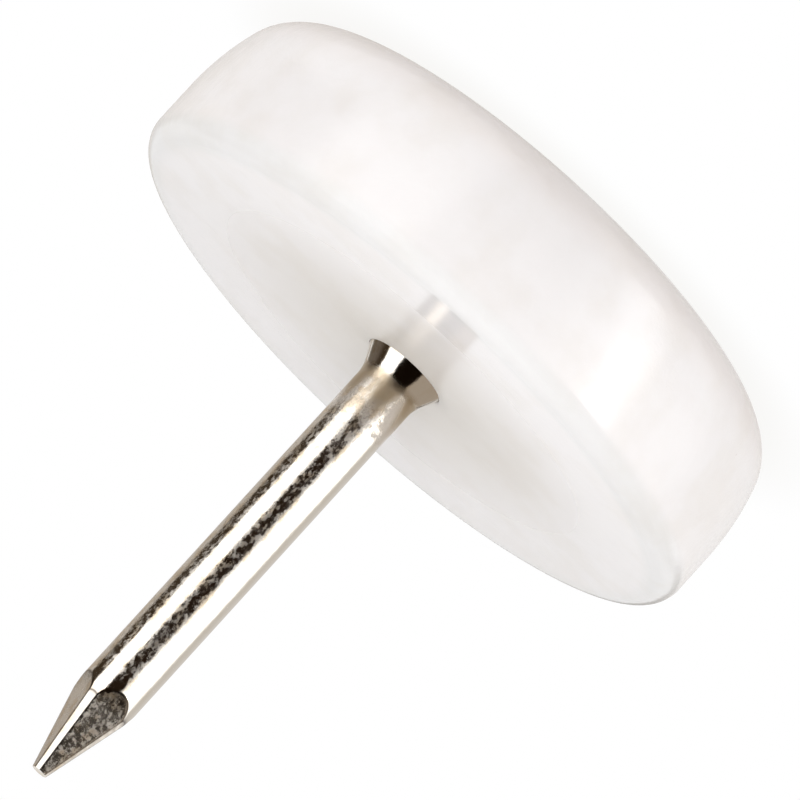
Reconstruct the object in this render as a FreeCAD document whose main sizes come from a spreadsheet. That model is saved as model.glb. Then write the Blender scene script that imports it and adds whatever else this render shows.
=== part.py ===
import FreeCAD, Part
import math
import os

import Sketcher

# Nail-on furniture glide.
# A moulded plastic pad carries a steel nail. The nail's flat head lies inside the pad, its flared
# neck comes out of the middle of the seating side, and its plain shank ends in a pinched point.
# The part stands on its sliding face, on z = 0, with the nail along +Z.

# Driving dimensions in millimetres: alias, value, meaning.
SIZES = [
    ("pad_diameter", 20.0, "outside diameter of the pad"),
    ("pad_height", 5.4, "sliding face to seating land"),
    ("wall_depth", 2.0, "straight wall, measured down from the seating land"),
    ("shoulder_radius", 8.0, "large arc that draws the wall in"),
    ("sliding_edge_radius", 1.6, "small arc between the shoulder and the sliding face"),
    ("rim_radius", 0.25, "rounded edge of the seating land"),
    ("dish_diameter", 13.4, "matt dish inside the seating land"),
    ("dish_depth", 0.1, "depth of the dish at its middle"),
    ("shank_diameter", 1.9, "nail wire"),
    ("nail_reach", 15.7, "seating land to the end of the point"),
    ("flare_diameter", 2.62, "neck of the nail where it leaves the pad"),
    ("flare_height", 0.73, "pad face to the top of the neck"),
    ("neck_blend_radius", 0.8, "rounding between the neck and the shank"),
    ("head_diameter", 6.4, "flat head inside the pad"),
    ("head_thickness", 0.9, "flat head inside the pad"),
    ("head_depth", 1.4, "seating land to the upper side of the head"),
    ("point_end_width", 0.47, "width across two facets at the end of the point"),
    ("point_root_width", 1.54, "width across two facets at the root of the taper"),
    ("point_taper_length", 2.6, "straight part of the facets"),
    ("point_nose_radius", 1.6, "rounded root of the facets"),
    ("ridge_end_width", 0.48, "width across two blunted ridges at the end"),
    ("ridge_root_width", 2.0, "width across two blunted ridges, where their cut leaves the shank"),
    ("ridge_taper_length", 2.81, "straight part of the blunted ridges"),
    ("ridge_nose_radius", 0.25, "rounded root of the blunted ridges"),
    ("cutter_overrun", 0.5, "how far the cuts run past the end of the point"),
]
SIZE = {alias: value for alias, value, meaning in SIZES}
FACETS = 4
ORIGIN = (-1, 1)
START, END, CENTRE = 1, 2, 3


# Document helpers

def add_sheet(doc):
    """Put the driving dimensions into a sheet, one alias a row."""
    sheet = doc.addObject("Spreadsheet::Sheet", "sizes")
    for row, (alias, value, meaning) in enumerate(SIZES, start=1):
        sheet.set(f"A{row}", meaning)
        sheet.set(f"B{row}", str(value))
        sheet.setAlias(f"B{row}", alias)
    doc.recompute()
    return sheet


def origin_feature(body, role):
    """Find one of the body's own origin planes or axes."""
    for feature in body.Origin.OriginFeatures:
        if feature.Role == role:
            return feature
    raise ValueError(f"{body.Name} has no {role}")


def add_sketch(body, name):
    """Make a sketch on the body's upright plane: x is the radius and y is the height."""
    sketch = body.newObject("Sketcher::SketchObject", name)
    sketch.AttachmentSupport = (origin_feature(body, "XZ_Plane"), [""])
    sketch.MapMode = "FlatFace"
    return sketch


def add_line(sketch, start, end):
    """Add a line and return its index."""
    points = [FreeCAD.Vector(x, y, 0) for x, y in (start, end)]
    return sketch.addGeometry(Part.LineSegment(*points), False)


def add_arc(sketch, centre, radius, start_angle, end_angle):
    """Add an arc that runs counter-clockwise between two angles, and return its index."""
    circle = Part.Circle(FreeCAD.Vector(*centre, 0), FreeCAD.Vector(0, 0, 1), radius)
    return sketch.addGeometry(Part.ArcOfCircle(circle, start_angle, end_angle), False)


def join(sketch, first, second):
    """Join the end of one edge to the start of the next."""
    sketch.addConstraint(Sketcher.Constraint("Coincident", first, END, second, START))


def smooth(sketch, first, second):
    """Join the end of one edge to the start of the next, with a common tangent."""
    sketch.addConstraint(Sketcher.Constraint("Tangent", first, END, second, START))


def level(sketch, *edges):
    """Keep lines square to the axis."""
    for edge in edges:
        sketch.addConstraint(Sketcher.Constraint("Horizontal", edge))


def upright(sketch, *edges):
    """Keep lines along the axis."""
    for edge in edges:
        sketch.addConstraint(Sketcher.Constraint("Vertical", edge))


def driven(sketch, name, constraint, formula):
    """Add a named dimension whose value is worked out from the sheet."""
    index = sketch.addConstraint(constraint)
    sketch.renameConstraint(index, name)
    sketch.setExpression(f"Constraints.{name}", formula)


def drive_x(sketch, name, edge, point, value, formula):
    """Hold a point at a radius from the axis."""
    driven(sketch, name, Sketcher.Constraint("DistanceX", *ORIGIN, edge, point, value), formula)


def drive_y(sketch, name, edge, point, value, formula):
    """Hold a point at a height over the sketch's origin."""
    driven(sketch, name, Sketcher.Constraint("DistanceY", *ORIGIN, edge, point, value), formula)


def drive_radius(sketch, name, edge, value, formula):
    """Hold an arc to a radius."""
    driven(sketch, name, Sketcher.Constraint("Radius", edge, value), formula)


def turn(body, kind, sketch, name):
    """Turn a sketch about its own upright axis, as added or as removed material."""
    feature = body.newObject(kind, name)
    feature.Profile = sketch
    feature.ReferenceAxis = (sketch, ["V_Axis"])
    feature.Angle = 360
    return feature


def ring_edge(shape, radius, height):
    """Find the round edge of a turned shape that lies at a radius and a height, and name it."""
    for number, edge in enumerate(shape.Edges, start=1):
        ring = edge.Curve
        if isinstance(ring, Part.Circle):
            if math.isclose(ring.Radius, radius) and math.isclose(ring.Center.z, height):
                return f"Edge{number}"
    raise RuntimeError(f"no round edge at radius {radius} and height {height}")


# Pad

def draw_pad_section(sketch):
    """Half section of the pad: sliding face, rounded side, seating land and dish."""
    radius = SIZE["pad_diameter"] / 2
    height = SIZE["pad_height"]
    wall_end = height - SIZE["wall_depth"]
    shoulder = SIZE["shoulder_radius"]
    edge = SIZE["sliding_edge_radius"]
    rim = SIZE["rim_radius"]
    dish = SIZE["dish_diameter"] / 2
    sweep = math.asin((wall_end - edge) / (shoulder - edge))
    flat = radius - shoulder + (shoulder - edge) * math.cos(sweep)
    middle = height - SIZE["dish_depth"]

    face = add_line(sketch, (0, 0), (flat, 0))
    edge_arc = add_arc(sketch, (flat, edge), edge, -math.pi / 2, -sweep)
    shoulder_arc = add_arc(sketch, (radius - shoulder, wall_end), shoulder, -sweep, 0)
    wall = add_line(sketch, (radius, wall_end), (radius, height - rim))
    rim_arc = add_arc(sketch, (radius - rim, height - rim), rim, 0, math.pi / 2)
    land = add_line(sketch, (radius - rim, height), (dish, height))
    slope = add_line(sketch, (dish, height), (0, middle))
    axis = add_line(sketch, (0, middle), (0, 0))

    for first, second in ((face, edge_arc), (edge_arc, shoulder_arc), (shoulder_arc, wall),
                          (wall, rim_arc), (rim_arc, land)):
        smooth(sketch, first, second)
    for first, second in ((land, slope), (slope, axis), (axis, face)):
        join(sketch, first, second)
    sketch.addConstraint(Sketcher.Constraint("Coincident", face, START, *ORIGIN))
    level(sketch, face, land)
    upright(sketch, wall, axis)
    drive_x(sketch, "pad_radius", wall, START, radius, "sizes.pad_diameter / 2")
    drive_y(sketch, "wall_end", wall, START, wall_end, "sizes.pad_height - sizes.wall_depth")
    drive_y(sketch, "land_level", land, END, height, "sizes.pad_height")
    drive_x(sketch, "dish_radius", land, END, dish, "sizes.dish_diameter / 2")
    drive_y(sketch, "dish_middle", slope, END, middle, "sizes.pad_height - sizes.dish_depth")
    drive_radius(sketch, "edge_radius", edge_arc, edge, "sizes.sliding_edge_radius")
    drive_radius(sketch, "shoulder_radius", shoulder_arc, shoulder, "sizes.shoulder_radius")
    drive_radius(sketch, "rim_radius", rim_arc, rim, "sizes.rim_radius")


# Nail

def neck_top():
    """Height of the top of the flared neck over the underside of the head."""
    return SIZE["head_thickness"] + SIZE["head_depth"] - SIZE["dish_depth"] + SIZE["flare_height"]


NECK_TOP = "sizes.head_thickness + sizes.head_depth - sizes.dish_depth + sizes.flare_height"
NAIL_LENGTH = "sizes.head_thickness + sizes.head_depth + sizes.nail_reach"
NECK_RADIUS = ("sizes.flare_diameter / 2 + (sizes.flare_diameter - sizes.shank_diameter) / 2"
               " / sizes.flare_height * (sizes.head_depth - sizes.dish_depth)")
HEAD_LEVEL = "sizes.pad_height - sizes.head_depth - sizes.head_thickness"


def draw_head_section(sketch, with_shank):
    """Half section of head and neck, from the head's underside, with or without the shank.

    The neck is one straight cone. It passes the pad's face at the flare diameter and goes on
    down to the upper side of the head.
    """
    head = SIZE["head_diameter"] / 2
    thickness = SIZE["head_thickness"]
    shank = SIZE["shank_diameter"] / 2
    flare = SIZE["flare_diameter"] / 2
    depth = SIZE["head_depth"] - SIZE["dish_depth"]
    neck = flare + (flare - shank) / SIZE["flare_height"] * depth
    top = neck_top()

    under = add_line(sketch, (0, 0), (head, 0))
    rim = add_line(sketch, (head, 0), (head, thickness))
    over = add_line(sketch, (head, thickness), (neck, thickness))
    cone = add_line(sketch, (neck, thickness), (shank, top))
    edges = [under, rim, over, cone]
    if with_shank:
        tip = thickness + SIZE["head_depth"] + SIZE["nail_reach"]
        side = add_line(sketch, (shank, top), (shank, tip))
        end = add_line(sketch, (shank, tip), (0, tip))
        edges += [side, end]
        upright(sketch, side)
        drive_y(sketch, "nail_length", side, END, tip, NAIL_LENGTH)
    else:
        tip = top
        end = add_line(sketch, (shank, top), (0, top))
        edges.append(end)
    axis = add_line(sketch, (0, tip), (0, 0))
    edges.append(axis)

    for first, second in zip(edges, edges[1:] + edges[:1]):
        join(sketch, first, second)
    sketch.addConstraint(Sketcher.Constraint("Coincident", under, START, *ORIGIN))
    level(sketch, under, over, end)
    upright(sketch, rim, axis)
    drive_x(sketch, "head_radius", rim, START, head, "sizes.head_diameter / 2")
    drive_y(sketch, "head_thickness", rim, END, thickness, "sizes.head_thickness")
    drive_x(sketch, "neck_radius", cone, START, neck, NECK_RADIUS)
    drive_x(sketch, "shank_radius", cone, END, shank, "sizes.shank_diameter / 2")
    drive_y(sketch, "neck_top", cone, END, top, NECK_TOP)


def draw_pinch(sketch, kind):
    """Section of the material that one cutter takes off the point.

    The cut follows a straight taper from past the end of the point to its root, and leaves
    through a rounded nose. kind is "point" for the facets and "ridge" for the blunted ridges.
    """
    end = SIZE[f"{kind}_end_width"] / 2
    root = SIZE[f"{kind}_root_width"] / 2
    length = SIZE[f"{kind}_taper_length"]
    nose = SIZE[f"{kind}_nose_radius"]
    overrun = SIZE["cutter_overrun"]
    tip = SIZE["head_thickness"] + SIZE["head_depth"] + SIZE["nail_reach"]
    taper = math.atan((root - end) / length)
    first_x = end - overrun * math.tan(taper)
    nose_centre = (root + nose * math.cos(taper), tip - length + nose * math.sin(taper))

    facet = add_line(sketch, (first_x, tip + overrun), (root, tip - length))
    bend = add_arc(sketch, nose_centre, nose, math.pi + taper, 1.5 * math.pi)
    outside = add_line(sketch, (nose_centre[0], nose_centre[1] - nose), (nose_centre[0], tip + overrun))
    above = add_line(sketch, (nose_centre[0], tip + overrun), (first_x, tip + overrun))

    smooth(sketch, facet, bend)
    for first, second in ((bend, outside), (outside, above), (above, facet)):
        join(sketch, first, second)
    level(sketch, above)
    upright(sketch, outside)
    sketch.addConstraint(Sketcher.Constraint("Vertical", bend, CENTRE, bend, END))
    drive_x(sketch, "start_radius", facet, START, first_x,
            f"(sizes.{kind}_end_width - sizes.cutter_overrun / sizes.{kind}_taper_length"
            f" * (sizes.{kind}_root_width - sizes.{kind}_end_width)) / 2")
    drive_y(sketch, "start_level", facet, START, tip + overrun, f"{NAIL_LENGTH} + sizes.cutter_overrun")
    drive_x(sketch, "root_radius", facet, END, root, f"sizes.{kind}_root_width / 2")
    drive_y(sketch, "root_level", facet, END, tip - length,
            f"{NAIL_LENGTH} - sizes.{kind}_taper_length")
    drive_radius(sketch, "nose_radius", bend, nose, f"sizes.{kind}_nose_radius")


def add_pinch(body, kind, clocking):
    """Cut one side of the point, right across the shank, at an angle about its axis."""
    sketch = add_sketch(body, f"{kind}_section")
    about_axis = FreeCAD.Rotation(FreeCAD.Vector(0, 1, 0), clocking)
    sketch.AttachmentOffset = FreeCAD.Placement(FreeCAD.Vector(), about_axis)
    draw_pinch(sketch, kind)
    pocket = body.newObject("PartDesign::Pocket", f"{kind}_cut")
    pocket.Profile = sketch
    pocket.Midplane = True
    pocket.setExpression("Length", "sizes.shank_diameter * 2")
    return pocket


# Sub-parts

def build_pad(doc):
    """Moulded pad, with the nail's head and neck taken out of it."""
    body = doc.addObject("PartDesign::Body", "glide_pad")
    section = add_sketch(body, "pad_section")
    draw_pad_section(section)
    turn(body, "PartDesign::Revolution", section, "pad_solid")
    seat = add_sketch(body, "seat_section")
    seat.setExpression("AttachmentOffset.Base.y", HEAD_LEVEL)
    draw_head_section(seat, with_shank=False)
    turn(body, "PartDesign::Groove", seat, "head_seat")
    return body


def build_nail(doc):
    """Steel nail with its head, flared neck, shank and pinched point, standing in the pad."""
    body = doc.addObject("PartDesign::Body", "nail")
    section = add_sketch(body, "nail_section")
    draw_head_section(section, with_shank=True)
    blank = turn(body, "PartDesign::Revolution", section, "nail_blank")
    doc.recompute()
    blend = body.newObject("PartDesign::Fillet", "neck_blend")
    blend.Base = (blank, [ring_edge(blank.Shape, SIZE["shank_diameter"] / 2, neck_top())])
    blend.setExpression("Radius", "sizes.neck_blend_radius")
    doc.recompute()
    half_step = 180 / FACETS
    cuts = [add_pinch(body, "point", 0), add_pinch(body, "ridge", half_step)]
    doc.recompute()
    pattern = body.newObject("PartDesign::PolarPattern", "pinched_point")
    pattern.Originals = cuts
    pattern.Axis = (origin_feature(body, "Z_Axis"), [""])
    pattern.Angle = 360
    pattern.Occurrences = FACETS
    body.Tip = pattern
    body.setExpression("Placement.Base.z", HEAD_LEVEL)
    return body


def check_document(doc, parts):
    """Stop if a feature failed, or if a sub-part is not one sound solid."""
    for item in doc.Objects:
        if "Invalid" in item.State or "Error" in item.State:
            raise RuntimeError(f"{item.Name} failed: {item.State}")
    for part in parts:
        shape = part.Shape
        if shape.isNull() or not shape.isValid() or len(shape.Solids) != 1:
            raise RuntimeError(f"{part.Label} is not one valid solid")


def main():
    """Build the glide and write one file for each sub-part."""
    doc = FreeCAD.newDocument("furniture_glide")
    add_sheet(doc)
    parts = [build_pad(doc), build_nail(doc)]
    doc.recompute()
    check_document(doc, parts)
    os.makedirs("parts", exist_ok=True)
    for part in parts:
        part.Shape.exportStep(os.path.join("parts", part.Label + ".step"))
        print(f"{part.Label}: {part.Shape.Volume:.2f} mm3, top {part.Shape.BoundBox.ZMax:.2f} mm")


main()
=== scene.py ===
import logging
import math
from dataclasses import dataclass, field

import bpy
import numpy as np
from mathutils import Matrix, Vector


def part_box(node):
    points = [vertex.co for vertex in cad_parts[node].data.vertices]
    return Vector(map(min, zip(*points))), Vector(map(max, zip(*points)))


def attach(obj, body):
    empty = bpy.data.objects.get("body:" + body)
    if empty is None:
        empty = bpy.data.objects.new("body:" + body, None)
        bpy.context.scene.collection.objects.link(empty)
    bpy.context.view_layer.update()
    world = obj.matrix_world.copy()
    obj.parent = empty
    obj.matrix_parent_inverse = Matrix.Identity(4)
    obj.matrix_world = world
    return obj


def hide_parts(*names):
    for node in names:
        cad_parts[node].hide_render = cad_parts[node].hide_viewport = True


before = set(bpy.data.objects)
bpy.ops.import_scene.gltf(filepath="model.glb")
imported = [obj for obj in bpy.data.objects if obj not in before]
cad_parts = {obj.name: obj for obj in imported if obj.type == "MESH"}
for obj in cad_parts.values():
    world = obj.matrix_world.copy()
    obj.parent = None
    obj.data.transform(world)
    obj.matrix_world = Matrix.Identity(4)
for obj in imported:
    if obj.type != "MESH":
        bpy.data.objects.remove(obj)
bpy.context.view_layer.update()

log = logging.getLogger("glide")

MM = 0.001
WHITE = "#FFFFFF"
CREASE_ANGLE = math.radians(30)


# Shared helpers

def linear(colour: str) -> tuple[float, float, float, float]:
    """Turn an sRGB hex colour into linear light.

    Args:
        colour: Six hex digits after a hash.

    Returns:
        Red, green, blue and an alpha of one.
    """
    parts = np.array([int(colour[i:i + 2], 16) for i in (1, 3, 5)]) / 255
    light = np.where(parts <= 0.04045, parts / 12.92, ((parts + 0.055) / 1.055) ** 2.4)
    return (*light.tolist(), 1.0)


def add_node(tree: bpy.types.NodeTree, kind: str, values: dict | None = None,
             links: dict | None = None, **settings: object) -> bpy.types.Node:
    """Add one node with its settings, values and links.

    Args:
        tree: The node tree that it goes into.
        kind: The node's type name.
        values: Input name or index to a constant.
        links: Input name or index to the output socket that feeds it.
        **settings: Properties of the node itself.

    Returns:
        The new node.
    """
    made = tree.nodes.new(kind)
    for name, value in settings.items():
        setattr(made, name, value)
    for key, value in (values or {}).items():
        made.inputs[key].default_value = value
    for key, socket in (links or {}).items():
        tree.links.new(socket, made.inputs[key])
    return made


def empty_material(name: str) -> tuple[bpy.types.Material, bpy.types.NodeTree]:
    """Make a material with an empty node tree.

    Args:
        name: The material's name.

    Returns:
        The material and its tree.
    """
    material = bpy.data.materials.new(name)
    material.use_nodes = True
    material.node_tree.nodes.clear()
    return material, material.node_tree


def arc(centre: tuple[float, float], radius: float, start: float, end: float,
        steps: int) -> np.ndarray:
    """Points on an arc: the centre plus the radius times cosine and sine of even angles.

    Args:
        centre: Radius and height of the arc's centre.
        radius: The arc's radius.
        start: First angle in radians, from the outward direction.
        end: Last angle in radians.
        steps: How many steps the arc has.

    Returns:
        An array of radius and height pairs.
    """
    angle = np.linspace(start, end, steps + 1)
    return np.column_stack([centre[0] + radius * np.cos(angle), centre[1] + radius * np.sin(angle)])


def straight(start: tuple[float, float], end: tuple[float, float], steps: int) -> np.ndarray:
    """Points on a straight run: start and end mixed in even shares, both included."""
    share = np.linspace(0, 1, steps + 1)[:, None]
    return (1 - share) * np.array(start) + share * np.array(end)


def join_runs(*runs: np.ndarray) -> np.ndarray:
    """Chain runs into one profile, without the point that each run shares with the last."""
    return np.vstack([runs[0]] + [run[1:] for run in runs[1:]])


def closed_turn(name: str, grid: np.ndarray) -> bpy.types.Object:
    """Make a closed turned mesh from a grid of rings, with one pole at each end.

    The first and last rings have no radius, so each becomes a single point. The rings between
    are joined by quads, and the poles by triangles. The mesh is smooth, with a crease wherever
    its faces meet at more than the crease angle.

    Args:
        name: The piece's name.
        grid: Rings by columns by three, in metres, in order from the lower pole to the upper.

    Returns:
        The new object.
    """
    rings, columns = grid.shape[:2]
    inner = grid[1:-1]
    points = np.vstack([inner.reshape(-1, 3), grid[0, :1], grid[-1, :1]])
    column = np.arange(columns)
    after = (column + 1) % columns
    row = np.arange(rings - 3)[:, None] * columns
    above = row + columns
    quads = np.stack([row + column, row + after, above + after, above + column], axis=-1).reshape(-1, 4)
    low, high = len(points) - 2, len(points) - 1
    last = (rings - 3) * columns
    bottom = np.column_stack([np.full(columns, low), after, column])
    top = np.column_stack([np.full(columns, high), last + column, last + after])
    mesh = bpy.data.meshes.new(name)
    mesh.from_pydata(points.tolist(), [], quads.tolist() + bottom.tolist() + top.tolist())
    mesh.polygons.foreach_set("use_smooth", np.ones(len(mesh.polygons), dtype=bool))
    mesh.set_sharp_from_angle(angle=CREASE_ANGLE)
    mesh.update()
    piece = bpy.data.objects.new(name, mesh)
    bpy.context.scene.collection.objects.link(piece)
    return piece


def mark(piece: bpy.types.Object, name: str, values: np.ndarray) -> None:
    """Store one number at each point of a mesh made by closed_turn.

    Args:
        piece: The piece that gets the attribute.
        name: The attribute's name.
        values: Rings by columns, in the order of the grid that the mesh was made from.
    """
    points = np.concatenate([values[1:-1].ravel(), values[0, :1], values[-1, :1]])
    layer = piece.data.attributes.new(name, "FLOAT", "POINT")
    layer.data.foreach_set("value", points.astype(np.float32))


def turned_grid(profile: np.ndarray, columns: int) -> np.ndarray:
    """Carry a profile round the upright axis: x and y are the radius times cosine and sine.

    Args:
        profile: Radius and height pairs.
        columns: How many columns go round.

    Returns:
        Rings by columns by three.
    """
    angle = np.linspace(0, 2 * math.pi, columns, endpoint=False)
    radius, height = profile[:, :1], profile[:, 1:]
    return np.stack([radius * np.cos(angle), radius * np.sin(angle), height + 0 * angle], axis=-1)


# Finishes

@dataclass(frozen=True)
class MouldedPolyethylene:
    """White polyethylene, injection moulded: waxy, slightly see-through, with a soft gloss.

    The tool was polished at the seating land and the wall and left matt in the dish, so the land
    mirrors the shank and the dish does not. Three greys are painted shade, not the plastic's own
    colour: a soft disc round the nail's neck, the wall's lower edge and its rounded rim. A pair of
    numbers gives where a mask is none and where it is whole.
    """

    colour: str = "#F5F2F2"
    painted_neck_shade: str = "#E0DBD5"
    cloud: str = "#FBFAF8"
    painted_low_shade: str = "#F8F5F3"
    painted_rim_shade: str = "#F6F8F8"
    speck: str = "#B9AE9E"
    ior: float = 1.51
    reflection: float = 0.28
    see_through: float = 0.3
    scatter_mm: float = 1.2
    scatter_tint: tuple[float, float, float] = (1.0, 0.95, 0.85)
    wall_roughness: float = 0.17
    land_roughness: float = 0.12
    dish_roughness: float = 0.3
    face_depth_mm: tuple[float, float] = (0.3, 0.2)
    dish_edge_mm: tuple[float, float] = (0.04, -0.12)
    shade_radius_mm: tuple[float, float] = (8.5, 1.5)
    cloud_mm: float = 2.2
    cloud_range: tuple[float, float] = (0.42, 0.68)
    low_shade_height_mm: tuple[float, float] = (1.8, 0.6)
    rim_shade_depth_mm: tuple[float, float] = (0.85, 0.35)
    rim_shade_reach_mm: tuple[float, float] = (-0.5, 0.2)
    speck_spacing_mm: float = 1.6
    speck_share: float = 0.05
    speck_range: tuple[float, float] = (0.045, 0.02)
    ripple_mm: float = 0.45
    ripple_depth_mm: float = 0.012
    ripple_on_face: float = 0.25
    grain_mm: float = 0.07
    grain_depth_mm: float = 0.004
    scratch_turn: float = -25.0
    scratch_width_mm: float = 0.05
    scratch_length_mm: float = 2.5
    scratch_range: tuple[float, float] = (0.73, 0.78)
    scratch_depth_mm: float = 0.002
    scratch_strength: float = 0.4

    def material(self, land_level: float, rim_start: float, dish_radius: float) -> bpy.types.Material:
        """Make the material.

        Args:
            land_level: Height of the seating land, in metres.
            rim_start: Radius at which the land turns into the rounded rim, in metres.
            dish_radius: Radius of the matt dish, in metres.

        Returns:
            The material.
        """
        material, tree = empty_material("moulded_polyethylene")
        place = add_node(tree, "ShaderNodeTexCoord").outputs["Object"]
        height = add_node(tree, "ShaderNodeSeparateXYZ", links={0: place}).outputs["Z"]
        flat = add_node(tree, "ShaderNodeVectorMath", {1: (1, 1, 0)}, {0: place}, operation="MULTIPLY")
        radius = add_node(tree, "ShaderNodeVectorMath", links={0: flat.outputs[0]},
                          operation="LENGTH").outputs["Value"]

        # The seating side is everything near the land's height, and the dish is its inner part.
        on_face = add_node(tree, "ShaderNodeMapRange",
                           {"From Min": land_level - self.face_depth_mm[0] * MM,
                            "From Max": land_level - self.face_depth_mm[1] * MM},
                           {"Value": height}, interpolation_type="SMOOTHSTEP").outputs[0]
        inside = add_node(tree, "ShaderNodeMapRange",
                          {"From Min": dish_radius + self.dish_edge_mm[0] * MM,
                           "From Max": dish_radius + self.dish_edge_mm[1] * MM},
                          {"Value": radius}, interpolation_type="SMOOTHSTEP").outputs[0]
        in_dish = add_node(tree, "ShaderNodeMath", links={0: on_face, 1: inside},
                           operation="MULTIPLY").outputs[0]
        face_rough = add_node(tree, "ShaderNodeMix", {"A": self.land_roughness, "B": self.dish_roughness},
                              {"Factor": inside}).outputs[0]
        roughness = add_node(tree, "ShaderNodeMix", {"A": self.wall_roughness},
                             {"Factor": on_face, "B": face_rough}).outputs[0]

        # Painted shade: the face is painted greyer towards the nail's neck, in a soft disc that stands in
        # for the shade round it.
        shade = add_node(tree, "ShaderNodeMapRange",
                         {"From Min": self.shade_radius_mm[0] * MM,
                          "From Max": self.shade_radius_mm[1] * MM},
                         {"Value": radius}, interpolation_type="SMOOTHSTEP").outputs[0]
        shade = add_node(tree, "ShaderNodeMath", links={0: shade, 1: on_face},
                         operation="MULTIPLY").outputs[0]
        body = add_node(tree, "ShaderNodeMix", {"A": linear(self.colour), "B": linear(self.painted_neck_shade)},
                        {"Factor": shade}, data_type="RGBA").outputs[2]

        # The moulding is faintly cloudy, as milky plastic is where it cooled at different speeds.
        milk = add_node(tree, "ShaderNodeTexNoise", {"Scale": 1 / (self.cloud_mm * MM), "Detail": 3.0},
                        {"Vector": place}).outputs[0]
        milk = add_node(tree, "ShaderNodeMapRange",
                        {"From Min": self.cloud_range[0], "From Max": self.cloud_range[1]},
                        {"Value": milk}, interpolation_type="SMOOTHSTEP").outputs[0]

        # Painted shade: the wall's lower edge and its rounded rim are painted a little darker.
        low = add_node(tree, "ShaderNodeMapRange",
                       {"From Min": self.low_shade_height_mm[0] * MM,
                        "From Max": self.low_shade_height_mm[1] * MM},
                       {"Value": height}, interpolation_type="SMOOTHSTEP").outputs[0]
        high = add_node(tree, "ShaderNodeMapRange",
                        {"From Min": land_level - self.rim_shade_depth_mm[0] * MM,
                         "From Max": land_level - self.rim_shade_depth_mm[1] * MM},
                        {"Value": height}, interpolation_type="SMOOTHSTEP").outputs[0]
        outer = add_node(tree, "ShaderNodeMapRange",
                         {"From Min": rim_start + self.rim_shade_reach_mm[0] * MM,
                          "From Max": rim_start + self.rim_shade_reach_mm[1] * MM},
                         {"Value": radius}, interpolation_type="SMOOTHSTEP").outputs[0]
        rim = add_node(tree, "ShaderNodeMath", links={0: high, 1: outer}, operation="MULTIPLY").outputs[0]
        # The cloud is the plastic's own tone. The other two tints are painted shade.
        for tint, share in ((self.cloud, milk), (self.painted_low_shade, low), (self.painted_rim_shade, rim)):
            body = add_node(tree, "ShaderNodeMix", {"B": linear(tint)}, {"Factor": share, "A": body},
                            data_type="RGBA", blend_type="MULTIPLY").outputs[2]

        # Sparse specks of dust and burnt resin: the middle of a few cells of an even scatter.
        cells = add_node(tree, "ShaderNodeTexVoronoi", {"Scale": 1 / (self.speck_spacing_mm * MM)},
                         {"Vector": place})
        near = add_node(tree, "ShaderNodeMapRange",
                        {"From Min": self.speck_range[0], "From Max": self.speck_range[1]},
                        {"Value": cells.outputs["Distance"]}).outputs[0]
        pick = add_node(tree, "ShaderNodeSeparateColor", links={0: cells.outputs["Color"]}).outputs[0]
        few = add_node(tree, "ShaderNodeMath", {1: self.speck_share}, {0: pick},
                       operation="LESS_THAN").outputs[0]
        speck = add_node(tree, "ShaderNodeMath", links={0: near, 1: few}, operation="MULTIPLY").outputs[0]
        colour = add_node(tree, "ShaderNodeMix", {"B": linear(self.speck)}, {"Factor": speck, "A": body},
                          data_type="RGBA").outputs[2]

        # Flow ripple over the wall, calmer on the face.
        ripple = add_node(tree, "ShaderNodeTexNoise",
                          {"Scale": 1 / (self.ripple_mm * MM), "Detail": 5.0, "Roughness": 0.6},
                          {"Vector": place}).outputs[0]
        calm = add_node(tree, "ShaderNodeMapRange", {"To Min": 1.0, "To Max": self.ripple_on_face},
                        {"Value": on_face}).outputs[0]
        ripple = add_node(tree, "ShaderNodeMath", links={0: ripple, 1: calm},
                          operation="MULTIPLY").outputs[0]
        rippled = add_node(tree, "ShaderNodeBump",
                           {"Strength": 1.0, "Distance": self.ripple_depth_mm * MM},
                           {"Height": ripple}).outputs[0]

        # Fine grain in the dish.
        grain = add_node(tree, "ShaderNodeTexNoise", {"Scale": 1 / (self.grain_mm * MM), "Detail": 3.0},
                         {"Vector": place}).outputs[0]
        grain = add_node(tree, "ShaderNodeMath", links={0: grain, 1: in_dish},
                         operation="MULTIPLY").outputs[0]
        grained = add_node(tree, "ShaderNodeBump",
                           {"Strength": 1.0, "Distance": self.grain_depth_mm * MM},
                           {"Height": grain, "Normal": rippled}).outputs[0]

        # Short hairline scratches all over: the peaks of a noise that is drawn out one way.
        across = 1 / (self.scratch_width_mm * MM)
        lay = add_node(tree, "ShaderNodeMapping",
                       {"Rotation": (0, 0, math.radians(self.scratch_turn)),
                        "Scale": (1 / (self.scratch_length_mm * MM), across, across)},
                       {"Vector": place}).outputs[0]
        hair = add_node(tree, "ShaderNodeTexNoise", {"Scale": 1.0, "Detail": 0.0},
                        {"Vector": lay}).outputs[0]
        line = add_node(tree, "ShaderNodeMapRange",
                        {"From Min": self.scratch_range[0], "From Max": self.scratch_range[1]},
                        {"Value": hair}).outputs[0]
        scratched = add_node(tree, "ShaderNodeBump",
                             {"Strength": self.scratch_strength, "Distance": self.scratch_depth_mm * MM},
                             {"Height": line, "Normal": grained}, invert=True).outputs[0]

        shader = add_node(tree, "ShaderNodeBsdfPrincipled",
                          {"IOR": self.ior, "Specular IOR Level": self.reflection,
                           "Subsurface Weight": self.see_through,
                           "Subsurface Scale": self.scatter_mm * MM,
                           "Subsurface Radius": self.scatter_tint},
                          {"Base Color": colour, "Roughness": roughness, "Normal": scratched},
                          subsurface_method="BURLEY")
        add_node(tree, "ShaderNodeOutputMaterial", links={"Surface": shader.outputs[0]})
        return material


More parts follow.
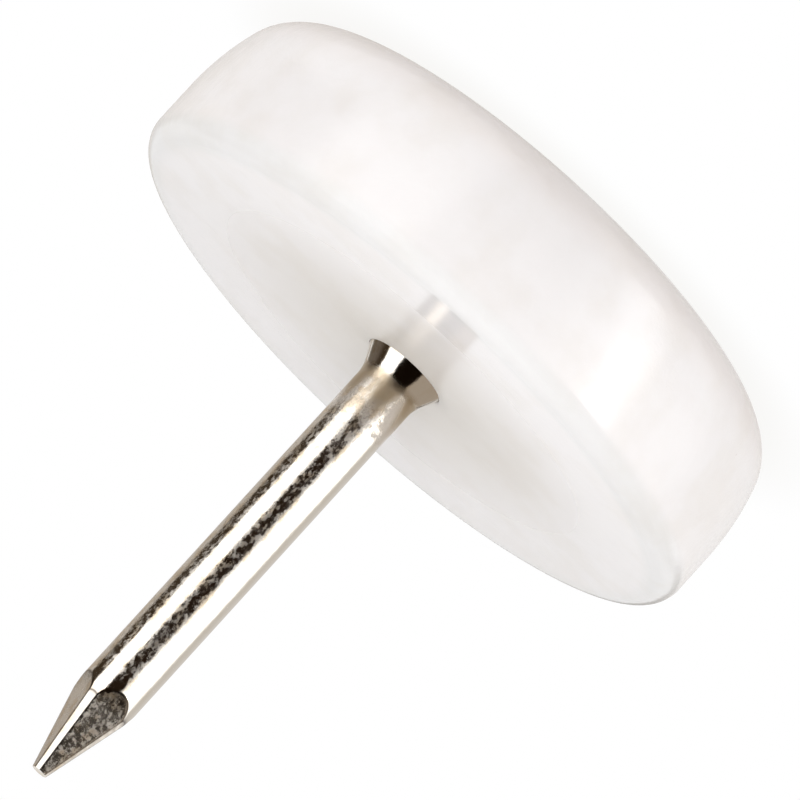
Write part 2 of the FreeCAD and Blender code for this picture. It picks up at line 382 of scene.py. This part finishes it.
@dataclass(frozen=True)
class BrightNickelPlating:
    """Bright nickel, electroplated over drawn wire: a warm mirror, clouded where the wire was rough.

    The plating is clear in fine specks and clouded between them. A clouded speck gathers light from
    the sides, so a dark reflection is mottled, while a light one stays even. Over the flare the
    plating is thinner, tarnished and satin, and it is also painted darker as shade near the pad. One
    side of the wire came clean out of the die, and so did the short length in front of the point.
    The cuts of the point are blotched, and the lines between them hold painted shade. A pair of
    numbers gives where a mask is none and where it is whole.
    """

    colour: str = "#DCD5CB"
    stain: str = "#CDBDA6"
    tarnish_and_shade: str = "#B8A78E"
    painted_crease_shade: str = "#4A4038"
    clear_roughness: float = 0.07
    cloud_roughness: float = 0.44
    tarnish_roughness: float = 0.4
    cloud_mm: float = 0.12
    cloud_stretch: float = 0.6
    cloud_range: tuple[float, float] = (0.36, 0.68)
    blotch_mm: float = 0.2
    drawn_rise_mm: tuple[float, float] = (0.5, 0.9)
    drawn_least: float = 0.08
    clean_side: tuple[float, float, float] = (-0.94, -0.342, 0)
    clean_side_mm: tuple[float, float] = (0.55, 0.3)
    clean_side_least: float = 0.15
    clean_length_mm: tuple[float, float] = (0.9, 0.6)
    clean_length_least: float = 0.2
    tarnish_and_shade_reach_mm: tuple[float, float] = (2.2, 1.2)
    tarnish_and_shade_start_mm: tuple[float, float] = (0.5, 0.75)
    stripe_rise_mm: float = 0.9
    stripe_inner_mm: tuple[float, float] = (0.12, 0.45)
    stripe_outer_mm: tuple[float, float] = (0.85, 0.55)
    patch_range: tuple[float, float] = (0.36, 0.6)
    patch_least: float = 0.85
    stain_mm: float = 0.3
    stain_range: tuple[float, float] = (0.48, 0.62)
    stain_most: float = 0.8
    wave_mm: float = 0.45
    wave_depth_mm: float = 0.007
    pit_depth_mm: float = 0.003

    def material(self, face_level: float, point_level: float) -> bpy.types.Material:
        """Make the material.

        The mesh's attribute "cut" is one on the cuts of the point, and "crease" is one in the lines
        between them.

        Args:
            face_level: Height at which the nail leaves the pad, in metres.
            point_level: Height at which the point begins to taper, in metres.

        Returns:
            The material.
        """
        material, tree = empty_material("bright_nickel_plating")
        place = add_node(tree, "ShaderNodeTexCoord").outputs["Object"]
        height = add_node(tree, "ShaderNodeSeparateXYZ", links={0: place}).outputs["Z"]
        pressed = add_node(tree, "ShaderNodeVectorMath", {1: (1, 1, self.cloud_stretch)}, {0: place},
                           operation="MULTIPLY").outputs[0]
        specks = add_node(tree, "ShaderNodeTexNoise",
                          {"Scale": 1 / (self.cloud_mm * MM), "Detail": 3.0, "Roughness": 0.65},
                          {"Vector": pressed}).outputs[0]
        blotches = add_node(tree, "ShaderNodeTexNoise",
                            {"Scale": 1 / (self.blotch_mm * MM), "Detail": 5.0, "Roughness": 0.75},
                            {"Vector": place}).outputs[0]
        wave = add_node(tree, "ShaderNodeTexNoise", {"Scale": 1 / (self.wave_mm * MM), "Detail": 1.0},
                        {"Vector": place}).outputs[0]

        # Where the plating is clouded: not on the flare, the clean side or just short of the point.
        cut = add_node(tree, "ShaderNodeAttribute", attribute_name="cut").outputs["Fac"]
        mottle = add_node(tree, "ShaderNodeMix", None,
                          {"Factor": cut, "A": specks, "B": blotches}).outputs[0]
        cloud = add_node(tree, "ShaderNodeMapRange",
                         {"From Min": self.cloud_range[0], "From Max": self.cloud_range[1]},
                         {"Value": mottle}).outputs[0]
        drawn = add_node(tree, "ShaderNodeMapRange",
                         {"From Min": face_level + self.drawn_rise_mm[0] * MM,
                          "From Max": face_level + self.drawn_rise_mm[1] * MM,
                          "To Min": self.drawn_least},
                         {"Value": height}, interpolation_type="SMOOTHSTEP").outputs[0]
        across = add_node(tree, "ShaderNodeVectorMath", {1: self.clean_side}, {0: place},
                          operation="DOT_PRODUCT").outputs["Value"]
        side = add_node(tree, "ShaderNodeMapRange",
                        {"From Min": self.clean_side_mm[0] * MM, "From Max": self.clean_side_mm[1] * MM,
                         "To Min": self.clean_side_least},
                        {"Value": across}, interpolation_type="SMOOTHSTEP").outputs[0]
        short = add_node(tree, "ShaderNodeMapRange",
                         {"From Min": point_level - self.clean_length_mm[0] * MM,
                          "From Max": point_level - self.clean_length_mm[1] * MM,
                          "To Min": 1.0, "To Max": self.clean_length_least},
                         {"Value": height}, interpolation_type="SMOOTHSTEP").outputs[0]
        shank = add_node(tree, "ShaderNodeMath", links={0: side, 1: short},
                         operation="MULTIPLY").outputs[0]
        shank = add_node(tree, "ShaderNodeMath", links={0: shank, 1: cut}, operation="MAXIMUM").outputs[0]
        for mask in (drawn, shank):
            cloud = add_node(tree, "ShaderNodeMath", links={0: cloud, 1: mask},
                             operation="MULTIPLY").outputs[0]

        # Where the plating is thinner and tarnished, and painted darker as shade near the pad: a belt
        # over the flare, in soft patches, that reaches less far up in two stripes along the nail.
        aside = add_node(tree, "ShaderNodeMath", links={0: across}, operation="ABSOLUTE").outputs[0]
        stripe = add_node(tree, "ShaderNodeMapRange",
                          {"From Min": self.stripe_inner_mm[0] * MM,
                           "From Max": self.stripe_inner_mm[1] * MM,
                           "To Max": self.stripe_rise_mm * MM},
                          {"Value": aside}, interpolation_type="SMOOTHSTEP").outputs[0]
        outer = add_node(tree, "ShaderNodeMapRange",
                         {"From Min": self.stripe_outer_mm[0] * MM,
                          "From Max": self.stripe_outer_mm[1] * MM},
                         {"Value": aside}, interpolation_type="SMOOTHSTEP").outputs[0]
        level = add_node(tree, "ShaderNodeMath", links={0: stripe, 1: outer, 2: height},
                         operation="MULTIPLY_ADD").outputs[0]
        thin_and_shaded = add_node(tree, "ShaderNodeMapRange",
                        {"From Min": face_level + self.tarnish_and_shade_reach_mm[0] * MM,
                         "From Max": face_level + self.tarnish_and_shade_reach_mm[1] * MM},
                        {"Value": level}, interpolation_type="SMOOTHSTEP").outputs[0]
        start = add_node(tree, "ShaderNodeMapRange",
                         {"From Min": face_level + self.tarnish_and_shade_start_mm[0] * MM,
                          "From Max": face_level + self.tarnish_and_shade_start_mm[1] * MM},
                         {"Value": height}, interpolation_type="SMOOTHSTEP").outputs[0]
        patch = add_node(tree, "ShaderNodeMapRange",
                         {"From Min": self.patch_range[0], "From Max": self.patch_range[1],
                          "To Min": self.patch_least}, {"Value": wave}).outputs[0]
        for mask in (start, patch):
            thin_and_shaded = add_node(tree, "ShaderNodeMath", links={0: thin_and_shaded, 1: mask},
                            operation="MULTIPLY").outputs[0]
        rough = add_node(tree, "ShaderNodeMix", {"A": self.clear_roughness, "B": self.cloud_roughness},
                         {"Factor": cloud}).outputs[0]
        rough = add_node(tree, "ShaderNodeMix", {"B": self.tarnish_roughness},
                         {"Factor": thin_and_shaded, "A": rough}).outputs[0]

        # The colour: stains off the clean side, then tarnished plating with painted shade near the pad,
        # then painted shade in the lines.
        stained = add_node(tree, "ShaderNodeTexNoise", {"Scale": 1 / (self.stain_mm * MM), "Detail": 2.0},
                           {"Vector": pressed}).outputs[0]
        stained = add_node(tree, "ShaderNodeMapRange",
                           {"From Min": self.stain_range[0], "From Max": self.stain_range[1],
                            "To Max": self.stain_most}, {"Value": stained}).outputs[0]
        stained = add_node(tree, "ShaderNodeMath", links={0: stained, 1: side},
                           operation="MULTIPLY").outputs[0]
        crease = add_node(tree, "ShaderNodeAttribute", attribute_name="crease").outputs["Fac"]
        colour = add_node(tree, "ShaderNodeMix", {"A": linear(self.colour), "B": linear(self.stain)},
                          {"Factor": stained}, data_type="RGBA").outputs[2]
        # Painted shade: near the pad, mixed into the tarnished plating, and in the lines between the
        # cuts.
        for tint, share in ((self.tarnish_and_shade, thin_and_shaded), (self.painted_crease_shade, crease)):
            colour = add_node(tree, "ShaderNodeMix", {"B": linear(tint)}, {"Factor": share, "A": colour},
                              data_type="RGBA").outputs[2]

        # The relief: a slow wave along the wire and fine pits.
        waved = add_node(tree, "ShaderNodeBump", {"Strength": 1.0, "Distance": self.wave_depth_mm * MM},
                         {"Height": wave}).outputs[0]
        pitted = add_node(tree, "ShaderNodeBump", {"Strength": 1.0, "Distance": self.pit_depth_mm * MM},
                          {"Height": specks, "Normal": waved}).outputs[0]
        shader = add_node(tree, "ShaderNodeBsdfPrincipled", {"Metallic": 1.0},
                          {"Base Color": colour, "Roughness": rough, "Normal": pitted})
        add_node(tree, "ShaderNodeOutputMaterial", links={"Surface": shader.outputs[0]})
        return material


@dataclass(frozen=True)
class StudioPaper:
    """White background paper that glows evenly, with a painted shadow round the glide, and casts no
    light.
    """

    colour: str = WHITE
    shade: str = "#F7F6F4"
    shade_start_mm: float = 7.5
    shade_end_mm: float = 12.0

    def material(self) -> bpy.types.Material:
        """Make the material.

        Returns:
            The material.
        """
        material, tree = empty_material("studio_paper")
        place = add_node(tree, "ShaderNodeTexCoord").outputs["Object"]
        radius = add_node(tree, "ShaderNodeVectorMath", links={0: place},
                          operation="LENGTH").outputs["Value"]
        # Painted shadow: the paper is painted a little darker round the glide.
        clear = add_node(tree, "ShaderNodeMapRange", {"From Min": self.shade_start_mm * MM,
                                                      "From Max": self.shade_end_mm * MM},
                         {"Value": radius}, interpolation_type="SMOOTHSTEP").outputs[0]
        colour = add_node(tree, "ShaderNodeMix", {"A": linear(self.shade), "B": linear(self.colour)},
                          {"Factor": clear}, data_type="RGBA").outputs[2]
        glow = add_node(tree, "ShaderNodeEmission", links={"Color": colour})
        add_node(tree, "ShaderNodeOutputMaterial", links={"Surface": glow.outputs[0]})
        material.cycles.emission_sampling = "NONE"
        return material


# Sub-assemblies

@dataclass
class GlidePad:
    """The moulded pad. Lengths are in millimetres and the frame gives its radius and height."""

    radius: float
    height: float
    wall_depth: float = 2.0
    shoulder_radius: float = 8.0
    sliding_edge_radius: float = 1.6
    rim_radius: float = 0.7
    dish_radius: float = 6.7
    dish_depth: float = 0.1
    seat_gap: float = 0.008
    columns: int = 288
    finish: MouldedPolyethylene = field(default_factory=MouldedPolyethylene)

    @property
    def face_level(self) -> float:
        """Height of the dish at the axis, where the nail leaves the pad."""
        return self.height - self.dish_depth

    def outside(self) -> np.ndarray:
        """Profile from the middle of the sliding face round the side to the edge of the dish.

        The sliding face is flat. A small arc, a large arc and a straight wall follow it, each
        tangent to the last, and a small arc rounds the edge of the seating land.

        Returns:
            Radius and height pairs in millimetres.
        """
        edge, shoulder, rim = self.sliding_edge_radius, self.shoulder_radius, self.rim_radius
        wall_end = self.height - self.wall_depth
        sweep = math.asin((wall_end - edge) / (shoulder - edge))
        flat = self.radius - shoulder + (shoulder - edge) * math.cos(sweep)
        return join_runs(
            straight((0, 0), (flat, 0), steps=24),
            arc((flat, edge), edge, -math.pi / 2, -sweep, steps=32),
            arc((self.radius - shoulder, wall_end), shoulder, -sweep, 0, steps=16),
            straight((self.radius, wall_end), (self.radius, self.height - rim), steps=12),
            arc((self.radius - rim, self.height - rim), rim, 0, math.pi / 2, steps=24),
            straight((self.radius - rim, self.height), (self.dish_radius, self.height), steps=12),
        )

    def seat(self, nail: "DrivenNail") -> np.ndarray:
        """Profile of the dish and of the hollow that holds the nail's head and neck.

        Args:
            nail: The nail that the hollow is for.

        Returns:
            Radius and height pairs in millimetres, from the edge of the dish to the axis.
        """
        gap = self.seat_gap
        slope = self.dish_depth / self.dish_radius
        flare = nail.flare_radius + gap
        mouth = self.face_level + slope * flare
        neck = nail.neck_radius(nail.head_top) + gap
        head = nail.head_radius + gap
        roof, ground = nail.head_top + gap, nail.head_bottom - gap
        return join_runs(
            straight((self.dish_radius, self.height), (flare, mouth), steps=40),
            straight((flare, mouth), (neck, roof), steps=8),
            straight((neck, roof), (head, roof), steps=4),
            straight((head, roof), (head, ground), steps=4),
            straight((head, ground), (0, ground), steps=8),
        )

    def build(self, nail: "DrivenNail") -> bpy.types.Object:
        """Make the pad's mesh: the whole profile carried round the axis.

        Args:
            nail: The nail that the pad holds.

        Returns:
            The pad.
        """
        profile = join_runs(self.outside(), self.seat(nail)) * MM
        return closed_turn("pad_shell", turned_grid(profile, self.columns))

    def dress(self, piece: bpy.types.Object) -> None:
        """Give the pad its finish and its place on the frame.

        Args:
            piece: The pad's object.
        """
        rim_start = self.radius - self.rim_radius
        finish = self.finish.material(self.height * MM, rim_start * MM, self.dish_radius * MM)
        piece.data.materials.append(finish)
        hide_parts("glide_pad")
        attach(piece, "root")


@dataclass
class DrivenNail:
    """The nail. Lengths are in millimetres.

    The frame gives its ends and its head's radius, and the pad gives the height of its face.
    """

    head_bottom: float
    tip: float
    head_radius: float
    face_level: float
    head_thickness: float = 0.9
    shank_radius: float = 0.95
    flare_radius: float = 1.31
    flare_height: float = 0.73
    neck_blend_radius: float = 0.8
    facets: int = 4
    facet_end: float = 0.235
    facet_root: float = 0.77
    facet_length: float = 2.6
    facet_nose: float = 1.6
    ridge_end: float = 0.24
    ridge_slope: float = 0.2705
    cut_reach: float = 1.0
    cut_edge: float = 0.02
    edge_softness: float = 0.012
    crease_width: float = 0.016
    end_shares: tuple[float, ...] = (0.85, 0.5, 0.0)
    point_rings: int = 170
    columns: int = 320
    finish: BrightNickelPlating = field(default_factory=BrightNickelPlating)

    @property
    def head_top(self) -> float:
        """Height of the upper side of the head."""
        return self.head_bottom + self.head_thickness

    def neck_radius(self, height: float | np.ndarray) -> float | np.ndarray:
        """Radius of the cone over the head at a height: the flare's, less an even slope."""
        slope = (self.flare_radius - self.shank_radius) / self.flare_height
        return self.flare_radius - slope * (height - self.face_level)

    def facet_distance(self, depth: np.ndarray) -> np.ndarray:
        """Distance of a facet from the axis.

        It grows evenly with the depth under the tip, and past the taper's root it follows a round
        nose that is tangent to the taper and curves outwards.

        Args:
            depth: Depth under the tip, in millimetres.

        Returns:
            Distances in millimetres, far outside the shank once the nose has passed.
        """
        taper = math.atan((self.facet_root - self.facet_end) / self.facet_length)
        centre = self.facet_root + self.facet_nose * math.cos(taper)
        centre_depth = self.facet_length - self.facet_nose * math.sin(taper)
        even = self.facet_end + depth * math.tan(taper)
        beyond = np.clip(depth - centre_depth, 0, self.facet_nose)
        nose = centre - np.sqrt(self.facet_nose ** 2 - beyond ** 2)
        return np.where(depth < self.facet_length, even, nose)

    def point_radius(self, height: np.ndarray,
                     angle: np.ndarray) -> tuple[np.ndarray, np.ndarray, np.ndarray]:
        """Radius of the point, by height and angle, how near a crease is, and what is cut.

        The radius is the least of three: the shank's, that of a flat facet and that of a blunted
        ridge, where a flat at distance d has radius d over the cosine of the angle from its
        middle. A soft minimum takes the knife edge off where they meet. The nearness is one where
        the two least radii are equal, and falls off exponentially with their difference. A point
        is cut once it lies inside the shank by the cut's edge or more, and partly before that.

        Args:
            height: Heights in millimetres, as a column.
            angle: Angles in radians, as a row.

        Returns:
            Radii in millimetres, the nearness and the cut share, each with one row for each height.
        """
        depth = self.tip - height
        step = 2 * math.pi / self.facets
        off_facet = (angle + step / 2) % step - step / 2
        off_ridge = angle % step - step / 2
        facet = self.facet_distance(depth) / np.cos(off_facet)
        ridge = (self.ridge_end + self.ridge_slope * depth) / np.cos(off_ridge)
        radii = np.stack(np.broadcast_arrays(facet, ridge, self.shank_radius + 0 * facet))
        radii.sort(axis=0)
        least, second = radii[0], radii[1]
        soft = np.exp(-(radii - least) / self.edge_softness).sum(axis=0)
        radius = least - self.edge_softness * np.log(soft)
        crease = np.exp(-(second - least) / self.crease_width)
        cut = np.clip((self.shank_radius - least) / self.cut_edge, 0, 1)
        return radius, crease, cut

    def build(self) -> bpy.types.Object:
        """Make the nail's mesh as rings from the underside of the head to the end of the point.

        Returns:
            The nail.
        """
        neck_top = self.face_level + self.flare_height
        root = self.tip - self.facet_length - self.cut_reach
        angle = np.linspace(0, 2 * math.pi, self.columns, endpoint=False)[None, :]
        # The arc between cone and shank is tangent to both.
        blend = self.neck_blend_radius
        lean = math.atan2(self.flare_radius - self.shank_radius, self.flare_height)
        blend_top = neck_top + blend * math.tan(lean / 2)
        curve = arc((self.shank_radius + blend, blend_top), blend, math.pi + lean, math.pi, steps=12)
        head, head_top, neck = self.head_radius, self.head_top, self.neck_radius(self.head_top)
        turned = join_runs(
            straight((0, self.head_bottom), (head, self.head_bottom), steps=6),
            straight((head, self.head_bottom), (head, head_top), steps=3),
            straight((head, head_top), (neck, head_top), steps=4),
            straight((neck, head_top), tuple(curve[0]), steps=16),
            curve,
            straight((self.shank_radius, blend_top), (self.shank_radius, root), steps=48),
        )
        height = np.linspace(root, self.tip, self.point_rings)[1:, None]
        point, crease, cut = self.point_radius(height, angle)
        radius = np.vstack([turned[:, :1] + 0 * angle, point])
        level = np.vstack([turned[:, 1:], height])
        # The flat end of the point is closed by shrinking its last ring.
        radius = np.vstack([radius] + [radius[-1:] * share for share in self.end_shares])
        level = np.vstack([level] + [level[-1:]] * len(self.end_shares))
        grid = np.stack([radius * np.cos(angle), radius * np.sin(angle), level + 0 * angle], axis=-1)
        piece = closed_turn("nickel_nail", grid * MM)
        for name, share in (("crease", crease), ("cut", cut)):
            values = np.zeros(grid.shape[:2])
            values[len(turned):len(turned) + len(share)] = share
            mark(piece, name, values)
        return piece

    def dress(self, piece: bpy.types.Object) -> None:
        """Give the nail its finish and its place on the frame.

        Args:
            piece: The nail's object.
        """
        point_level = self.tip - self.facet_length
        piece.data.materials.append(self.finish.material(self.face_level * MM, point_level * MM))
        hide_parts("nail")
        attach(piece, "root")


# Studio

@dataclass(frozen=True)
class SoftPanel:
    """One part of the room that polished surfaces mirror.

    Bearings are degrees from the camera's side, seen from the part, positive clockwise from
    above; heights are degrees over the horizon.
    """

    name: str
    bearing: tuple[float, float]
    height: tuple[float, float]
    level: float
    tint: str = WHITE
    soft: float = 4.0


@dataclass
class Studio:
    """Floor, room light, key light and camera.

    Bearings and heights are in degrees, the camera's distance is in metres, and pixels are those of
    the square picture.
    """

    camera_bearing: float = 20.0
    camera_height: float = 13.6
    camera_distance: float = 0.45
    pixels_per_mm: float = 35.05
    frame_pixels: int = 800
    neck_pixel: tuple[float, float] = (404.5, 370.5)
    nail_lean: float = 42.31
    sensor: float = 36.0
    clip: tuple[float, float] = (0.01, 20.0)
    room: str = "#7A746C"
    paper: StudioPaper = field(default_factory=StudioPaper)
    panels: tuple[SoftPanel, ...] = (
        SoftPanel("ceiling", (-190, 190), (52, 95), 0.7),
        SoftPanel("dark_front", (-26, 60), (-95, 52), 0.022, "#FFC89C"),
        SoftPanel("dark_left", (-118, -78), (-26, 40), 0.06, "#FFDDB8"),
        SoftPanel("dim_right", (26, 50), (1, 30), 0.05, "#FFF0E0"),
        SoftPanel("black_above", (-26, 44), (18, 50), 0.006, "#FFC89C"),
        SoftPanel("grey_right", (48, 150), (2, 52), 0.45, "#FFF0DE"),
        SoftPanel("wall_left", (-190, -118), (-80, 5), 0.62, "#FFF8F0"),
        SoftPanel("low_left", (-122, -70), (-80, -24), 1.5),
        SoftPanel("facet_left", (-165, -120), (-9, 6), 0.54, "#FFF6EC", soft=3.0),
        SoftPanel("wall_right", (104, 190), (-80, -8), 0.76, "#FFFCF8"),
        SoftPanel("light_right", (116, 138), (-8, 4), 1.2),
        SoftPanel("mid_left", (-200, -100), (8, 50), 0.17, "#FFEBD8", soft=25.0),
        SoftPanel("wall_behind_left", (-190, -140), (2, 52), 0.95),
        SoftPanel("wall_behind_right", (145, 190), (2, 52), 0.95),
        SoftPanel("window_left", (-74, -26), (-70, 48), 2.3),
        SoftPanel("window_right", (26, 104), (-80, -3), 1.7, soft=10.0),
        SoftPanel("pane_left", (-70, -30), (-24, 0), 3.0),
        SoftPanel("pane_right", (34, 96), (-24, -5), 2.4),
        SoftPanel("lamp_low", (43, 66), (-48, -18), 5.6, soft=10.0),
        SoftPanel("lamp", (48, 63), (-28, -5), 8.5, soft=6.0),
    )
    glow: str = "#FFFEFD"
    glow_level: float = 1.5
    glow_above: float = -1.25
    glow_front: float = -0.27
    glow_below: float = 0.97
    glow_behind: float = 0.54
    key_forward_mm: float = 18.0
    key_height_mm: float = 30.0
    key_size_mm: float = 14.0
    key_watts: float = 0.0022

    def lay_floor(self) -> bpy.types.Object:
        """Make the paper floor that only the camera sees.

        Returns:
            The floor.
        """
        mesh = bpy.data.meshes.new("paper_floor")
        corners = [(-1, -1, 0), (1, -1, 0), (1, 1, 0), (-1, 1, 0)]
        mesh.from_pydata(corners, [], [(0, 1, 2, 3)])
        floor = bpy.data.objects.new("paper_floor", mesh)
        bpy.context.scene.collection.objects.link(floor)
        mesh.materials.append(self.paper.material())
        floor.visible_diffuse = False
        floor.visible_glossy = False
        floor.visible_transmission = False
        floor.visible_shadow = False
        return floor

    def light_room(self) -> None:
        """Make the room: white to the camera, panels to polished surfaces, a soft glow to the rest.

        The glow's strength in a direction is its level, plus the weight from above times the square
        of how far it looks up, plus the weight from the front times how far it looks towards the
        camera's side, plus the weights from below and behind times how far it looks down and away.
        """
        world = bpy.data.worlds.new("studio_room")
        bpy.context.scene.world = world
        world.use_nodes = True
        world.cycles.sampling_method = "NONE"
        tree = world.node_tree
        tree.nodes.clear()
        place = add_node(tree, "ShaderNodeTexCoord").outputs["Generated"]
        # The camera stands at its bearing less 90 degrees from +X, so this turn puts it on +X.
        turned = add_node(tree, "ShaderNodeVectorRotate",
                          {"Angle": math.radians(90 - self.camera_bearing), "Axis": (0, 0, 1)},
                          {"Vector": place}, rotation_type="AXIS_ANGLE").outputs[0]
        parts = add_node(tree, "ShaderNodeSeparateXYZ", links={0: turned})
        east, north, up = parts.outputs
        around = add_node(tree, "ShaderNodeMath", links={0: north, 1: east},
                          operation="ARCTAN2").outputs[0]
        bearing = add_node(tree, "ShaderNodeMath", {1: -180 / math.pi}, {0: around},
                           operation="MULTIPLY").outputs[0]
        rise = add_node(tree, "ShaderNodeMath", links={0: up}, operation="ARCSINE").outputs[0]
        height = add_node(tree, "ShaderNodeMath", {1: 180 / math.pi}, {0: rise},
                          operation="MULTIPLY").outputs[0]

        # What mirrors see: each panel is laid over the room and the panels before it.
        seen = None
        for panel in self.panels:
            mask = None
            for socket, (low, high) in ((bearing, panel.bearing), (height, panel.height)):
                for edge, inward in ((low, panel.soft), (high, -panel.soft)):
                    ramp = add_node(tree, "ShaderNodeMapRange",
                                    {"From Min": edge - inward / 2, "From Max": edge + inward / 2},
                                    {"Value": socket}, interpolation_type="SMOOTHSTEP").outputs[0]
                    if mask is None:
                        mask = ramp
                    else:
                        mask = add_node(tree, "ShaderNodeMath", links={0: mask, 1: ramp},
                                        operation="MULTIPLY").outputs[0]
            light = tuple(part * panel.level for part in linear(panel.tint)[:3]) + (1.0,)
            links = {"Factor": mask} if seen is None else {"Factor": mask, "A": seen}
            seen = add_node(tree, "ShaderNodeMix", {"A": linear(self.room), "B": light}, links,
                            data_type="RGBA", label=panel.name).outputs[2]

        # What everything else gets: the glow.
        top = add_node(tree, "ShaderNodeMath", {1: 0.0}, {0: up}, operation="MAXIMUM").outputs[0]
        above = add_node(tree, "ShaderNodeMath", links={0: top, 1: top}, operation="MULTIPLY").outputs[0]
        below = add_node(tree, "ShaderNodeMath", {1: 0.0}, {0: up}, operation="MINIMUM").outputs[0]
        shares = add_node(tree, "ShaderNodeCombineXYZ", links={0: above, 1: east, 2: below}).outputs[0]
        weights = (self.glow_above, self.glow_front, self.glow_below)
        change = add_node(tree, "ShaderNodeVectorMath", {1: weights}, {0: shares},
                          operation="DOT_PRODUCT").outputs["Value"]
        behind = add_node(tree, "ShaderNodeMath", {1: 0.0}, {0: east}, operation="MINIMUM").outputs[0]
        change = add_node(tree, "ShaderNodeMath", {1: self.glow_behind}, {0: behind, 2: change},
                          operation="MULTIPLY_ADD").outputs[0]
        strength = add_node(tree, "ShaderNodeMath", {1: self.glow_level}, {0: change},
                            operation="ADD").outputs[0]
        soft = add_node(tree, "ShaderNodeVectorMath", {0: linear(self.glow)[:3]}, {"Scale": strength},
                        operation="SCALE").outputs[0]

        path = add_node(tree, "ShaderNodeLightPath")
        lit = add_node(tree, "ShaderNodeMix", None,
                       {"Factor": path.outputs["Is Glossy Ray"], "A": soft, "B": seen},
                       data_type="RGBA").outputs[2]
        white = add_node(tree, "ShaderNodeMix", {"B": linear(WHITE)},
                         {"Factor": path.outputs["Is Camera Ray"], "A": lit}, data_type="RGBA").outputs[2]
        background = add_node(tree, "ShaderNodeBackground", links={"Color": white})
        add_node(tree, "ShaderNodeOutputWorld", links={"Surface": background.outputs[0]})

    def hang_key(self) -> None:
        """Hang a small soft light over the glide's near side, one that mirrors don't show."""
        data = bpy.data.lights.new("key", "AREA")
        data.shape = "DISK"
        data.size = self.key_size_mm * MM
        data.energy = self.key_watts
        light = bpy.data.objects.new("key", data)
        bearing = math.radians(self.camera_bearing)
        forward, height = self.key_forward_mm * MM, self.key_height_mm * MM
        place = Vector((math.sin(bearing) * forward, -math.cos(bearing) * forward, height))
        light.location = place
        light.rotation_mode = "QUATERNION"
        light.rotation_quaternion = place.to_track_quat("Z", "Y")
        light.visible_camera = False
        light.visible_glossy = False
        bpy.context.scene.collection.objects.link(light)

    def place_camera(self, neck: Vector) -> None:
        """Set the camera to the photograph's viewing angle, frame and tilt.

        Args:
            neck: The middle of the nail's neck at the pad's face, in metres.
        """
        bearing, height = math.radians(self.camera_bearing), math.radians(self.camera_height)
        away = math.cos(height)
        back = Vector((math.sin(bearing) * away, -math.cos(bearing) * away, math.sin(height)))
        level = Vector((math.cos(bearing), math.sin(bearing), 0))
        upward = back.cross(level)
        # The photograph is turned until the nail points down and to the left.
        lean = math.radians(self.nail_lean)
        right = -math.cos(lean) * level - math.sin(lean) * upward
        top = math.sin(lean) * level - math.cos(lean) * upward
        middle = self.frame_pixels / 2
        across = (middle - self.neck_pixel[0]) / self.pixels_per_mm * MM
        down = (middle - self.neck_pixel[1]) / self.pixels_per_mm * MM
        target = neck + across * right - down * top
        data = bpy.data.cameras.new("camera")
        data.sensor_width = self.sensor
        view_width = self.frame_pixels / self.pixels_per_mm * MM
        data.lens = self.sensor * self.camera_distance / view_width
        data.clip_start, data.clip_end = self.clip
        camera = bpy.data.objects.new("camera", data)
        turn = Matrix((right, top, back)).transposed().to_4x4()
        camera.matrix_world = Matrix.Translation(target + back * self.camera_distance) @ turn
        bpy.context.scene.collection.objects.link(camera)
        bpy.context.scene.camera = camera


def main() -> None:
    """Build the pieces, dress them and set up the studio."""
    logging.basicConfig(level=logging.INFO)
    pad_low, pad_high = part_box("glide_pad")
    nail_low, nail_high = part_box("nail")
    pad = GlidePad(radius=(pad_high[0] - pad_low[0]) / 2 / MM, height=pad_high[2] / MM)
    nail = DrivenNail(
        head_bottom=nail_low[2] / MM,
        tip=nail_high[2] / MM,
        head_radius=(nail_high[0] - nail_low[0]) / 2 / MM,
        face_level=pad.face_level,
    )
    pad_piece = pad.build(nail)
    pad.dress(pad_piece)
    log.info("%s: %d faces", pad_piece.name, len(pad_piece.data.polygons))
    nail_piece = nail.build()
    nail.dress(nail_piece)
    log.info("%s: %d faces", nail_piece.name, len(nail_piece.data.polygons))

    studio = Studio()
    studio.lay_floor()
    studio.light_room()
    studio.hang_key()
    studio.place_camera(Vector((0, 0, nail.face_level * MM)))
    bpy.context.scene.view_settings.view_transform = "Standard"
    log.info("studio ready")


if __name__ == "__main__":
    main()
